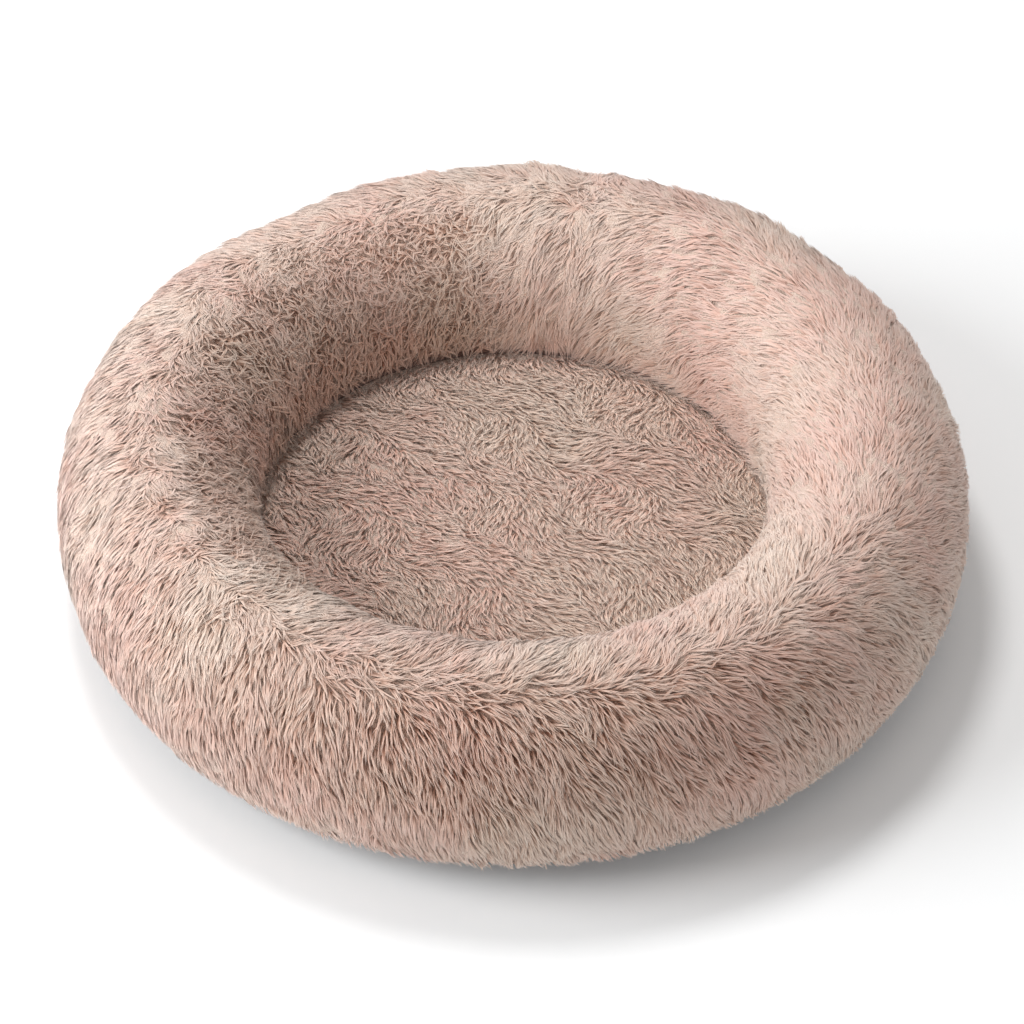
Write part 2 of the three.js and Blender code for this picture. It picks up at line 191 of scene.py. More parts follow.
# Folds of cloth that is a little too long for its place, from 0 up to the depth
def folds(azimuth, radius, up, depth, wavelength, seed):
    points = inSpace(azimuth, radius, up)
    coarse, fine = wave(points, 1, wavelength, seed), wave(points, 0.5, wavelength / 2.5, seed + 1)
    return depth * (0.5 + 0.5 * np.tanh(coarse + fine))


def deselectAll():
    if bpy.context.object and bpy.context.object.mode == "EDIT":
        bpy.ops.object.mode_set(mode="OBJECT")
    for obj in bpy.context.selected_objects:
        obj.select_set(False)


def choose(obj):
    deselectAll()
    obj.select_set(True)
    bpy.context.view_layer.objects.active = obj


def startEditing(obj):
    choose(obj)
    bpy.ops.object.mode_set(mode="EDIT")
    bpy.ops.mesh.select_all(action="SELECT")


def stopEditing():
    bpy.ops.object.mode_set(mode="OBJECT")


# Welds points that lie together, where a distance is given, and turns all faces outwards
def mendFaces(obj, distance=None):
    startEditing(obj)
    if distance:
        bpy.ops.mesh.remove_doubles(threshold=distance)
    bpy.ops.mesh.normals_make_consistent(inside=False)
    stopEditing()


def smooth(degrees):
    bpy.ops.object.shade_smooth_by_angle(angle=math.radians(degrees))


def applyModifier(obj, kind, **values):
    choose(obj)
    modifier = obj.modifiers.new(kind.lower(), kind)
    for label, value in values.items():
        setattr(modifier, label, value)
    bpy.ops.object.modifier_apply(modifier=modifier.name)


def addObject(name, data):
    obj = bpy.data.objects.new(name, data)
    bpy.context.scene.collection.objects.link(obj)
    return obj


# Materials
class Nodes:
    # The nodes of a material or of the world, with short ways to add to them
    def __init__(self, owner, shader):
        owner.use_nodes = True
        self.tree = owner.node_tree
        self.shader = self.tree.nodes[shader]

    # Links an output to a socket, or sets the socket to a number, a vector or a colour
    def feed(self, target, value):
        if isinstance(value, bpy.types.NodeSocket):
            self.tree.links.new(value, target)
        else:
            target.default_value = (*value, 1) if target.type == "RGBA" else value

    def set(self, inputs):
        for name, value in inputs.items():
            self.feed(self.shader.inputs[name], value)

    def add(self, kind, inputs=(), **values):
        node = self.tree.nodes.new("ShaderNode" + kind)
        for name, value in values.items():
            setattr(node, name, value)
        for name, value in dict(inputs).items():
            self.feed(node.inputs[name], value)
        return node

    def number(self, kind, first, second=0):
        return self.add("Math", {0: first, 1: second}, operation=kind).outputs[0]


class Paint(Nodes):
    # A new material with its Principled shader
    def __init__(self, name, roughness, sheen=0):
        self.material = bpy.data.materials.new(name)
        super().__init__(self.material, "Principled BSDF")
        self.set({"Roughness": roughness, "Sheen Weight": sheen})

    def place(self):
        return self.add("TexCoord").outputs["Object"]

    def uv(self, name):
        return self.add("UVMap", uv_map=name).outputs["UV"]

    def attribute(self, name):
        return self.add("Attribute", attribute_name=name).outputs["Fac"]

    def scaled(self, vector, scale):
        return self.add("Mapping", {"Vector": vector, "Scale": scale}).outputs["Vector"]

    def noise(self, scale, detail=3, vector=None, **more):
        inputs = {"Vector": vector or self.place(), "Scale": scale, "Detail": detail, **more}
        return self.add("TexNoise", inputs).outputs["Fac"]

    def ramp(self, factor, stops):
        node = self.add("ValToRGB", {"Fac": factor})
        ends = node.color_ramp.elements
        while len(ends) < len(stops):
            ends.new(0.5)
        for end, (place, colour) in zip(ends, stops):
            end.position = place
            end.color = (*colour, 1)
        return node.outputs["Color"]

    def mix(self, factor, first, second, blend="MIX"):
        node = self.add("Mix", data_type="RGBA", blend_type=blend)
        for name, value in (("Factor_Float", factor), ("A_Color", first), ("B_Color", second)):
            self.feed(next(i for i in node.inputs if i.identifier == name), value)
        return next(o for o in node.outputs if o.identifier == "Result_Color")

    def times(self, first, second):
        return self.mix(1.0, first, second, "MULTIPLY")

    def bump(self, height, distance, strength=1.0):
        node = self.add("Bump", {"Height": height, "Distance": distance, "Strength": strength})
        self.set({"Normal": node.outputs["Normal"]})

    def colour(self, source):
        self.set({"Base Color": source})


# A plain weave in a vector's x and y, with its pitch in the vector's units
def addWeave(paint, vector, pitch, first, second, depth):
    scale = [math.pi / step for step in (*pitch, pitch[0])]
    parts = paint.add("SeparateXYZ", {"Vector": paint.scaled(vector, scale)}).outputs
    warp, weft = (paint.number("SINE", parts[axis]) for axis in "XY")
    over = paint.number("GREATER_THAN", paint.number("MULTIPLY", warp, weft))
    ridge = paint.mix(over, paint.number("ABSOLUTE", warp), paint.number("ABSOLUTE", weft))
    paint.bump(ridge, depth, 0.7)
    return paint.ramp(ridge, [(0.1, first), (0.8, second)])


# Colours from root to point, where the pile stands open and where it lies close, and what tints them:
# patches over the bed, how much one lock differs from the next, and strands along a lock. Where the
# pile stands open, mostly at the front, the roots are painted much darker and the points a little
# paler: partly the pile's own browner roots, partly painted shade between the tufts and painted
# highlight on their points.
lockLook = {
    "open": [(0.0, (0.18, 0.08, 0.05)), (0.3, (0.52, 0.29, 0.20)),
             (0.6, (0.95, 0.74, 0.62)), (1.0, (1.00, 0.91, 0.82))],
    "close": [(0.0, (0.82, 0.60, 0.50)), (0.3, (0.89, 0.70, 0.60)),
              (0.6, (0.92, 0.77, 0.69)), (1.0, (0.96, 0.87, 0.81))],
    "patches": [(0.36, (1.0, 0.86, 0.84)), (0.66, (1.0, 0.99, 0.96))], "patchScale": 5.5,
    "even": [(0.0, (0.91, 0.87, 0.85)), (0.5, (0.98, 0.97, 0.96)), (1.0, (1.0, 1.0, 1.0))],
    "varied": [(0.0, (0.66, 0.55, 0.50)), (0.4, (0.92, 0.88, 0.86)), (0.8, (1.0, 1.0, 1.0))],
    "strands": [(0.3, (0.88, 0.82, 0.79)), (0.62, (1.0, 1.0, 1.0))], "strandScale": (2600, 190, 1),
}
# Undercoat colours under close and under open pile. Under open pile, mostly at the front, it is painted dark:
# painted shade in the gaps between tufts.
undercoatLook = {
    "open": [(0.3, (0.36, 0.19, 0.13)), (0.6, (0.52, 0.32, 0.24)), (0.8, (0.68, 0.46, 0.36))],
    "close": [(0.3, (0.78, 0.56, 0.45)), (0.6, (0.88, 0.68, 0.57)), (0.8, (0.95, 0.76, 0.66))],
}


def makeLockPaint():
    paint = Paint("plushLocks", 0.72, 0.25)
    along, tint, openness = (paint.attribute(label) for label in ("lockAlong", "lockTint", "lockOpenShade"))
    # Where the pile stands open, the darker roots take over: partly painted shade between the tufts
    grow = paint.mix(openness, paint.ramp(along, lockLook["close"]), paint.ramp(along, lockLook["open"]))
    shade = paint.mix(openness, paint.ramp(tint, lockLook["even"]), paint.ramp(tint, lockLook["varied"]))
    patches = paint.ramp(paint.noise(lockLook["patchScale"], 2), lockLook["patches"])
    strand = paint.noise(1.0, 2, paint.scaled(paint.uv("OFBake"), lockLook["strandScale"]))
    colour = paint.times(paint.times(grow, patches), shade)
    paint.colour(paint.times(colour, paint.ramp(strand, lockLook["strands"])))
    paint.set({"Specular IOR Level": 0.25, "Sheen Roughness": 0.5, "Sheen Tint": (1.0, 0.93, 0.88)})
    return paint.material


def makeUndercoatPaint():
    paint = Paint("plushUndercoat", 0.9, 0.2)
    fluff = paint.noise(420, 4)
    close, loose = (paint.ramp(fluff, undercoatLook[label]) for label in ("close", "open"))
    # Painted dark under open pile: painted shade in the gaps between tufts
    paint.colour(paint.mix(paint.attribute("lockOpenShade"), close, loose))
    paint.bump(fluff, 0.004)
    paint.set({"Specular IOR Level": 0.2})
    return paint.material


def makeTapePaint():
    paint = Paint("zipTapeCloth", 0.85, 0.2)
    pitch = (1 / 1900, 1 / 36)  # shares of the way round the bed and of the tape's width
    yarn = addWeave(paint, paint.uv("UVMap"), pitch, (0.26, 0.16, 0.13), (0.44, 0.29, 0.24), 0.0002)
    cloudy = paint.ramp(paint.noise(60), [(0.35, (0.86, 0.84, 0.83)), (0.65, (1, 1, 1))])
    paint.colour(paint.times(yarn, cloudy))
    return paint.material


def makeNylonPaint():
    paint = Paint("coilNylon", 0.42)
    streaks = paint.noise(240, 2)
    paint.colour(paint.ramp(streaks, [(0.35, (0.22, 0.14, 0.115)), (0.65, (0.31, 0.20, 0.165))]))
    paint.bump(streaks, 0.0001, 0.4)
    return paint.material


def makeMetalPaint():
    paint = Paint("satinZinc", 0.36)
    brushing = paint.noise(1.0, 3, paint.scaled(paint.place(), (300, 4000, 4000)))
    worn = paint.noise(700)
    bright = paint.ramp(brushing, [(0.3, (0.30, 0.30, 0.32)), (0.7, (0.42, 0.42, 0.44))])
    paint.colour(paint.mix(worn, (0.24, 0.24, 0.26), bright))
    rough = paint.ramp(worn, [(0.35, (0.28, 0.28, 0.28)), (0.7, (0.46, 0.46, 0.46))])
    paint.set({"Metallic": 1.0, "Roughness": rough})
    paint.bump(brushing, 0.00003, 0.5)
    return paint.material


def makeLinerPaint():
    paint = Paint("linerCloth", 0.8, 0.1)
    cells = {"Vector": paint.place(), "Scale": 420, "Randomness": 0.35}
    bonds = paint.add("TexVoronoi", cells, feature="F1").outputs["Distance"]
    dots = paint.ramp(bonds, [(0.18, (0.62, 0.61, 0.59)), (0.34, (0.79, 0.78, 0.75))])
    fibres = paint.ramp(paint.noise(160, 5), [(0.3, (0.90, 0.89, 0.88)), (0.7, (1, 1, 1))])
    paint.colour(paint.times(dots, fibres))
    paint.bump(bonds, 0.0003, 0.6)
    return paint.material


def makeFibrePaint():
    paint = Paint("fibreFluff", 0.95, 0.3)
    strands = paint.noise(70, 8, Roughness=0.75, Distortion=2.5)
    paint.colour(paint.ramp(strands, [(0.3, (0.66, 0.66, 0.65)), (0.6, (0.90, 0.90, 0.89))]))
    paint.bump(strands, 0.004, 0.8)
    return paint.material


def makeBaseClothPaint():
    paint = Paint("baseCloth", 0.8, 0.1)
    pitch = (0.0011, 0.0011)
    yarn = addWeave(paint, paint.place(), pitch, (0.055, 0.043, 0.040), (0.135, 0.108, 0.102), 0.0004)
    dust = paint.ramp(paint.noise(14, 4), [(0.35, (0.84, 0.84, 0.84)), (0.7, (1.08, 1.06, 1.04))])
    paint.colour(paint.times(yarn, dust))
    return paint.material


def makeGripPaint():
    paint = Paint("gripRubber", 0.6)
    fine = paint.noise(900, 4)
    paint.colour(paint.ramp(fine, [(0.3, (0.11, 0.095, 0.09)), (0.7, (0.17, 0.15, 0.14))]))
    paint.bump(fine, 0.0001, 0.5)
    return paint.material


lockPaint, undercoatPaint = makeLockPaint(), makeUndercoatPaint()
tapePaint, nylonPaint, metalPaint = makeTapePaint(), makeNylonPaint(), makeMetalPaint()
linerPaint, fibrePaint = makeLinerPaint(), makeFibrePaint()
baseClothPaint, gripPaint = makeBaseClothPaint(), makeGripPaint()
print("materials made")


def finishPiece(obj, node, paint, body="bed"):
    obj.data.materials.clear()
    obj.data.materials.append(paint)
    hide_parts(node)
    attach(obj, body)


def addMark(mesh, label, values):
    mesh.attributes.new(label, "FLOAT", "POINT").data.foreach_set("value", np.asarray(values, np.float32))


def readMark(mesh, label):
    values = np.empty(len(mesh.vertices), np.float32)
    mesh.attributes[label].data.foreach_get("value", values)
    return values.astype(float)


def readPoints(mesh):
    co = np.empty(len(mesh.vertices) * 3, np.float32)
    mesh.vertices.foreach_get("co", co)
    return co.reshape(-1, 3).astype(float)


def writePoints(mesh, co):
    mesh.vertices.foreach_set("co", co.astype(np.float32).ravel())
    mesh.update()


def azimuths(mesh):
    co = readPoints(mesh)
    return np.arctan2(co[:, 1], co[:, 0])


# A closed section drawn small in the plane of an azimuth and spun round the upright middle line.
# Every point keeps its two marks, from which the finished place is worked out afterwards.
def spinSection(name, marks, fromAzimuth, toAzimuth, steps):
    drawn = {"radius": 0.5, "size": 0.05}
    deselectAll()
    bpy.ops.mesh.primitive_circle_add(vertices=len(marks), radius=drawn["size"], fill_type="NGON")
    obj = bpy.context.object
    obj.name = obj.data.name = name
    for i, label in enumerate(markLabels):
        addMark(obj.data, label, [mark[i] for mark in marks])
    around = np.arange(len(marks)) * 2 * math.pi / len(marks)
    radius = drawn["radius"] + drawn["size"] * np.cos(around)
    writePoints(obj.data, inSpace(math.radians(fromAzimuth), radius, drawn["size"] * np.sin(around)))
    startEditing(obj)
    if toAzimuth - fromAzimuth >= 360:
        bpy.ops.mesh.delete(type="ONLY_FACE")
        bpy.ops.mesh.select_all(action="SELECT")
    sweep = math.radians(toAzimuth - fromAzimuth)
    bpy.ops.mesh.spin(steps=steps, angle=-sweep, center=(0, 0, 0), axis=(0, 0, 1))
    mendFaces(obj, weld)
    return obj


def movePoints(obj, place):
    marks = [readMark(obj.data, label) for label in markLabels]
    writePoints(obj.data, place(azimuths(obj.data), *marks))
    for label in markLabels:
        obj.data.attributes.remove(obj.data.attributes[label])


# A grid of faces laid round the bed: place gives each point from its azimuth and its share along the section
def wrapGrid(name, around, along, place):
    firstAzimuth = math.radians(-1)
    deselectAll()
    bpy.ops.mesh.primitive_grid_add(x_subdivisions=around, y_subdivisions=along, size=1)
    obj = bpy.context.object
    obj.name = obj.data.name = name
    x, y = readPoints(obj.data)[:, :2].T
    writePoints(obj.data, place(firstAzimuth + 2 * math.pi * (x + 0.5), y + 0.5))
    mendFaces(obj, weld)
    return obj


# The points and three-cornered faces of a small model that is laid out many times
def takePattern(obj):
    startEditing(obj)
    bpy.ops.mesh.quads_convert_to_tris()
    mendFaces(obj)
    points = readPoints(obj.data)
    faces = np.array([list(face.vertices) for face in obj.data.polygons])
    bpy.data.objects.remove(obj)
    return points, faces


# Corners of the faces of all copies of a pattern
def repeatFaces(faces, points, count):
    return (faces[None] + np.arange(count)[:, None, None] * len(points)).reshape(-1, 3)


# Where each tuft starts, which way it is combed and how long it is. Waves are strength, wavelength and seed.
comb = {
    "tuftPitch": 0.0067, "jitter": 0.45, "locksInTuft": 3, "tuftSpread": 0.0025, "pinch": (0.1, 0.8),
    "setBack": 0.42, "length": 0.037, "width": 0.0027, "rootDepth": (0.0060, 0.0155),
    "swell": (0.0013, 0.035, 15), "strayAzimuth": 0.9, "strayTurn": 0.075, "turnWave": (0.09, 0.06, 13),
    "headingWaves": [(0.17, 0.09, 11), (0.12, 0.03, 12)],
    # how far the pile is swept round the bed, per azimuth, against 1 for straight down the slope
    "sweep": [(0, 1.25), (5, 1.3), (25, 1.4), (45, 1.2), (65, .8), (79, .1), (92, .5), (110, .5), (130, .45),
              (160, .5), (180, .5), (200, .3), (215, .25), (235, .35), (250, .35), (270, .45), (300, .5),
              (320, .6), (335, .9), (350, 1.15), (360, 1.25)],
    "inwardSweep": 0.35,
    # places that the pile stands out from on all sides: azimuth, turn, strength, reach in metres
    "whorls": [(184.5, 94.6, .7, .026), (192.5, 87.6, .7, .024), (203.5, 84.7, .8, .03),
               (212.5, 85.3, .7, .026), (224, 78.3, .8, .032), (117.5, 95, .8, .035), (14, 93.4, .6, .03),
               (152, 121, .6, .025)],
    "whorlEye": 0.008, "whorlWaves": [(0.006, 0.025, 31), (0.006, 0.025, 32)],
    "parting": [(0, 90), (60, 88), (120, 92), (180, 90), (215, 85), (250, 82), (270, 80), (300, 81),
                (330, 84), (360, 90)],
    "partingWidth": 0.45,
    # the pile leans away from each seam: strength per seam, in metres how near it turns and how far it goes
    "seamPush": (0.45, 0.15, 0.15), "seamTurn": 0.006, "seamReach": 0.035,
}
# Where the pile is ruffled: the well's slope from one azimuth to another, and round the whorls
ruffled = {"combed": 0.04, "well": 0.8, "wellFrom": (104, 5), "sideFrom": (88, 14), "sideTo": (236, 20),
           "whorl": 0.5, "whorlReach": 0.011}
# Where the tufts stand apart: most at the front, from above the foot to below the crest
# The same looseness darkens the roots and undercoat in paint: painted shade between the tufts, mostly at the
# front
loosened = {"least": 0.06, "low": 0.94, "front": (272, 48), "upTo": (80, -12),
            "foot": 0.8, "footTo": (-2, -7), "ruffled": 0.6, "wave": (0.13, 0.05, 14)}
# How much tufts, and locks in a tuft, differ. A pair is what close or combed pile has and what loose or
# ruffled pile adds; for lengths and widths it is the least and the most.
vary = {
    "heading": (0.07, 0.85), "curl": (0.18, 1.4), "curlFrom": 0.25, "length": (0.85, 1.1), "shorter": 0.25,
    "lift": (0.0003, 0.0021), "ruffledLift": 0.003, "liftPower": 1.5, "rootPower": 1.7,
    "lockHeading": 0.05, "lockCurl": 0.15, "lockLength": (0.75, 1.05), "lockLift": (0.0003, 0.0007),
    "lockWidth": (0.75, 1.2), "roll": 0.35, "tuftTone": 0.45, "open": 0.12,
}


def between(pair, share):
    return pair[0] + pair[1] * share


# Metres from each place to a point of the ring, round the bed and up the section
def offsetFrom(degrees, turn, at, atTurn):
    roundBed = np.radians(apart(degrees, at)) * ring["perAzimuth"]
    return roundBed, (turn - math.radians(atTurn)) * ring["perTurn"]


# Each tuft is combed as if it stood a little beside its place, so that tufts cross where the pile parts.
def combWall(dice, azimuth, turn, points):
    degrees = (np.degrees(azimuth) + dice.normal(size=len(azimuth)) * comb["strayAzimuth"]) % 360
    turn = turn + dice.normal(size=len(turn)) * comb["strayTurn"] + wave(points, *comb["turnWave"])
    parting = np.radians(np.interp(degrees, *zip(*comb["parting"])))
    swept = np.interp(degrees, *zip(*comb["sweep"]))
    downWay = np.tanh((turn - parting) / comb["partingWidth"])
    roundWay = swept * (1 + comb["inwardSweep"] * np.maximum(downWay, 0))
    for at, atTurn, strength, reach in comb["whorls"]:
        dx, dy = offsetFrom(degrees, turn, at, atTurn)
        dx, dy = (gap + wave(points, *line) for gap, line in zip((dx, dy), comb["whorlWaves"]))
        far = np.hypot(dx, dy) + comb["whorlEye"]
        push = strength * bell(far, reach)
        roundWay = roundWay + push * dx / far
        downWay = downWay + push * dy / far
    for seam, push in zip(seams, comb["seamPush"]):
        dx = np.radians(apart(degrees, seam)) * ring["perAzimuth"]
        roundWay = roundWay + push * np.tanh(dx / comb["seamTurn"]) * bell(dx, comb["seamReach"])
    heading = np.arctan2(downWay, roundWay)
    for line in comb["headingWaves"]:
        heading = heading + wave(points, *line)
    return heading


def ruffleAt(azimuth, turn):
    degrees = np.degrees(azimuth) % 360
    first, firstWidth = ruffled["sideFrom"]
    last, lastWidth = ruffled["sideTo"]
    side = np.clip((degrees - first) / firstWidth, 0, 1) * np.clip((last - degrees) / lastWidth, 0, 1)
    whorl = 0 * turn
    for at, atTurn, strength, reach in comb["whorls"]:
        far = np.hypot(*offsetFrom(degrees, turn, at, atTurn))
        whorl = np.maximum(whorl, ruffled["whorl"] * bell(far, ruffled["whorlReach"]))
    well = ruffled["well"] * rising(np.degrees(turn), *ruffled["wellFrom"])
    return np.maximum(ruffled["combed"] + well * side, whorl)


def looseAt(azimuth, turn, points, ruffle):
    at, spread = loosened["front"]
    front = bell(apart(np.degrees(azimuth), at), spread)
    degrees = np.degrees(turn)
    low = rising(degrees, *loosened["upTo"]) - loosened["foot"] * rising(degrees, *loosened["footTo"])
    loose = loosened["least"] + loosened["low"] * front * low + loosened["ruffled"] * ruffle
    return np.clip(loose + wave(points, *loosened["wave"]), 0, 1)


# Depth of the undercoat under close and under loose pile, from the tips; relief is a wave, and the gap at
# a seam is in degrees
undercoat = {"depth": (0.0034, 0.0122), "relief": (0.0012, 0.02, 5), "sectionSteps": 56, "panelSteps": 110,
             "backing": 0.0003, "seamGap": 0.03}


# Undercoat and backing of the ring's three plush panels
def makeUndercoats():
    turns = np.linspace(wallFrom, wallTo, undercoat["sectionSteps"])
    marks = [(turn, 1) for turn in turns] + [(turn, 0) for turn in turns[::-1]]

    def place(azimuth, turn, outer):
        spots = wallPoint(azimuth, turn, 0 * turn)
        loose = looseAt(azimuth, turn, spots, ruffleAt(azimuth, turn))
        lift = wave(spots, *undercoat["relief"]) - np.interp(loose, (0, 1), undercoat["depth"])
        backing = undercoat["backing"] - pileAt(np.degrees(azimuth), turn)
        # The openness also sets the undercoat's painted shade
        addMark(obj.data, "lockOpenShade", loose)
        return wallPoint(azimuth, turn, np.where(outer > 0.5, lift, backing))

    for side, seam in zip(sides, seams):
        first, last = seam + undercoat["seamGap"], seam + sector - undercoat["seamGap"]
        obj = spinSection("undercoat_" + side, marks, first, last, undercoat["panelSteps"])
        movePoints(obj, place)
        smooth(50)
        finishPiece(obj, "wall_panel_" + side, undercoatPaint)


# One lock of pile: a three-sided spindle with its flat side down, 1 long, root at 0 and point at 1.
# Softness is how far a close and a loose lock's shading follows the cloth under it.
lock = {"rings": [(0.0, 0.65), (0.42, 1.0)], "flatness": 0.55, "softness": (0.8, 0.5),
        "cellMargin": 0.1, "capHeight": 0.02}
lockHeights = np.array([height for height, size in lock["rings"]] + [1.0])


def modelLock():
    near = 0.001
    deselectAll()
    bpy.ops.mesh.primitive_cone_add(vertices=3, radius1=0.5, radius2=0, depth=1, location=(0, 0, 0.5),
                                    rotation=(0, 0, math.pi))
    obj = bpy.context.object
    bpy.ops.object.transform_apply(location=True, rotation=True, scale=True)
    for height, size in lock["rings"]:
        startEditing(obj)
        if height > 0:
            bpy.ops.mesh.bisect(plane_co=(0, 0, height), plane_no=(0, 0, 1))
        bpy.ops.mesh.select_all(action="DESELECT")
        stopEditing()
        for vertex in obj.data.vertices:
            vertex.select = abs(vertex.co.z - height) < near
        bpy.ops.object.mode_set(mode="EDIT")
        swell = size / (1 - height)
        bpy.ops.transform.resize(value=(swell, swell * lock["flatness"], 1), center_override=(0, 0, height))
        stopEditing()
    return takePattern(obj)


# The bake map gives each lock a cell of its own: across is round the lock, up is along it.
def lockCell(points, faces):
    tiny = 1e-4

    def shareRound(point):
        return (np.degrees(np.arctan2(point[1], point[0])) / 360) % 1

    corners = np.empty((len(faces), 3, 2))
    for f, face in enumerate(faces):
        centre = shareRound(points[face].mean(0))
        for k, point in enumerate(points[face]):
            onAxis = np.hypot(point[0], point[1]) < tiny
            u = centre if onAxis else shareRound(point)
            corners[f, k] = (u + round(centre - u), point[2])
    cap = np.ptp(points[faces][:, :, 2], axis=1) < tiny
    corners[..., 0] -= corners[..., 0].min()
    corners[..., 0] /= corners[..., 0].max()
    corners[cap, :, 1] = lock["capHeight"]
    return corners * (1 - 2 * lock["cellMargin"]) + lock["cellMargin"]


lockPoints, lockFaces = modelLock()
lockCorners = lockCell(lockPoints, lockFaces)
print("lock modelled", len(lockPoints), "points", len(lockFaces), "faces")


# Loose tufts are drawn together at their points, so that the darker roots, partly painted shade, show between
# them.
def growTufts(dice, surface, start, heading, length, width, ruffle, loose, swell):
    point, normal, scale = surface
    tufts = len(start)
    heading = heading + dice.normal(size=tufts) * between(vary["heading"], ruffle)
    curl = dice.normal(size=tufts) * between(vary["curl"], ruffle)
    length = length * dice.uniform(*vary["length"], tufts) * (1 - vary["shorter"] * ruffle)
    lift = dice.normal(size=tufts) * between(vary["lift"], loose)
    lift = lift + vary["ruffledLift"] * ruffle * dice.uniform(0, 1, tufts)
    tone = dice.uniform(0, 1, tufts)
    own = np.repeat(np.arange(tufts), comb["locksInTuft"])
    count = len(own)
    around = dice.uniform(0, 2 * math.pi, count)
    away = np.sqrt(dice.uniform(0, 1, count)) * comb["tuftSpread"]
    offset = away[:, None] * toward(around)
    heading = heading[own] + dice.normal(size=count) * vary["lockHeading"]
    curl = curl[own] + dice.normal(size=count) * vary["lockCurl"]
    length = length[own] * dice.uniform(*vary["lockLength"], count)
    place = np.empty((count, len(lockHeights), 2))
    rate = np.stack(scale(start[own, 0], start[own, 1]), -1)
    backwards = toward(heading) * (comb["setBack"] * length)[:, None]
    place[:, 0] = start[own] - backwards / rate
    for j in range(1, len(lockHeights)):
        step = (lockHeights[j] - lockHeights[j - 1]) * length
        angle = heading + curl * ((lockHeights[j] + lockHeights[j - 1]) / 2 - vary["curlFrom"])
        place[:, j] = place[:, j - 1] + toward(angle) * step[:, None] / rate
    pinch = np.interp(loose[own], (0, 1), comb["pinch"])[:, None]
    place += offset[:, None] / rate[:, None] * (1 - pinch * lockHeights)[:, :, None]
    root = np.interp(loose[own], (0, 1), comb["rootDepth"])[:, None] * (1 - lockHeights) ** vary["rootPower"]
    lift = lift[own] + dice.normal(size=count) * between(vary["lockLift"], loose[own])
    top = lift[:, None] * lockHeights ** vary["liftPower"] + swell[own][:, None]
    paths = point(place[..., 0], place[..., 1], top - root)
    lays = normal(place[..., 0], place[..., 1])
    roll = np.tan(np.clip(dice.normal(size=count) * vary["roll"], -1, 1))
    normals = lays + np.cross(unit(np.gradient(paths, axis=1)), lays) * roll[:, None, None]
    widths = width[own] * dice.uniform(*vary["lockWidth"], count)
    tints = vary["tuftTone"] * tone[own] + (1 - vary["tuftTone"]) * dice.uniform(0, 1, count)
    opens = loose[own] + dice.normal(size=count) * vary["open"]
    return {"own": own, "path": paths, "normal": normals, "lay": lays, "width": widths,
            "tint": np.clip(tints, 0, 1), "open": np.clip(opens, 0, 1)}


def addLocks(name, locks, chosen, node):
    paths, normals, lays, widths, tints, opens = (
        locks[label][chosen] for label in ("path", "normal", "lay", "width", "tint", "open"))
    count, size = len(paths), len(lockPoints)
    station = np.abs(lockPoints[:, 2:] - lockHeights).argmin(1)
    along = unit(np.gradient(paths, axis=1))
    side = unit(np.cross(normals, along))
    up = np.cross(along, side)
    spoke = side[:, station] * lockPoints[:, 0, None] + up[:, station] * lockPoints[:, 1, None]
    co = paths[:, station] + spoke * widths[:, None, None]
    faces = repeatFaces(lockFaces, lockPoints, count)
    mesh = bpy.data.meshes.new(name)
    mesh.vertices.add(count * size)
    mesh.loops.add(faces.size)
    mesh.loops.foreach_set("vertex_index", faces.astype(np.int32).ravel())
    mesh.polygons.add(len(faces))
    mesh.polygons.foreach_set("loop_start", np.arange(0, faces.size, 3, dtype=np.int32))
    mesh.polygons.foreach_set("use_smooth", np.ones(len(faces), bool))
    mesh.vertices.foreach_set("co", co.astype(np.float32).ravel())
    mesh.update(calc_edges=True)
    follow = np.interp(opens, (0, 1), lock["softness"])[:, None, None]
    soft = unit(unit(spoke, 1e-6) * (1 - follow) + lays[:, station] * follow, 1e-6)
    softNormals = mesh.attributes.new("custom_normal", "FLOAT_VECTOR", "POINT")
    softNormals.data.foreach_set("vector", soft.astype(np.float32).ravel())
    addMark(mesh, "lockAlong", np.tile(lockPoints[:, 2], count))
    addMark(mesh, "lockTint", np.repeat(tints, size))
    # The openness also sets each lock's painted shade
    addMark(mesh, "lockOpenShade", np.repeat(opens, size))
    grid = math.ceil(math.sqrt(count))
    cell = np.stack([np.arange(count) % grid, np.arange(count) // grid], -1)
    uv = (lockCorners[None] + cell[:, None, None]) / grid
    mesh.uv_layers.new(name="OFBake").data.foreach_set("uv", uv.astype(np.float32).ravel())
    finishPiece(addObject(name, mesh), node, lockPaint)
    print(name, count, "locks", len(faces), "faces")


# The ring's pile. Its skirt, low on the outside, is shorter and thinner than the rest.
wallPile = {"seed": 41, "samples": 400, "skirtTo": 45, "skirtLength": (0.58, 0.42), "skirtWidth": (0.9, 0.1),
            "zones": [("skirt", -40, 10), ("shoulder", 10, 55), ("crest", 55, 110), ("slope", 110, 200)]}


def sowWall(dice):
    turns, starts = np.linspace(wallFrom, wallTo, wallPile["samples"]), []
    r, z = coreOffset(turns, ring["pile"])
    run = np.concatenate([[0], np.cumsum(np.hypot(np.diff(r), np.diff(z)))])
    rows, jitter = int(run[-1] / comb["tuftPitch"]), comb["jitter"]
    for row in range(rows):
        middle = (row + 0.5) / rows * run[-1]
        n = int(2 * math.pi * np.interp(middle, run, r) / comb["tuftPitch"])
        at = (np.arange(n) + 0.5 * (row % 2) + dice.uniform(-jitter, jitter, n)) / n * 2 * math.pi
        place = middle + dice.uniform(-jitter, jitter, n) * comb["tuftPitch"]
        starts.append(np.stack([at, np.interp(place, run, turns)], -1))
    return np.concatenate(starts)


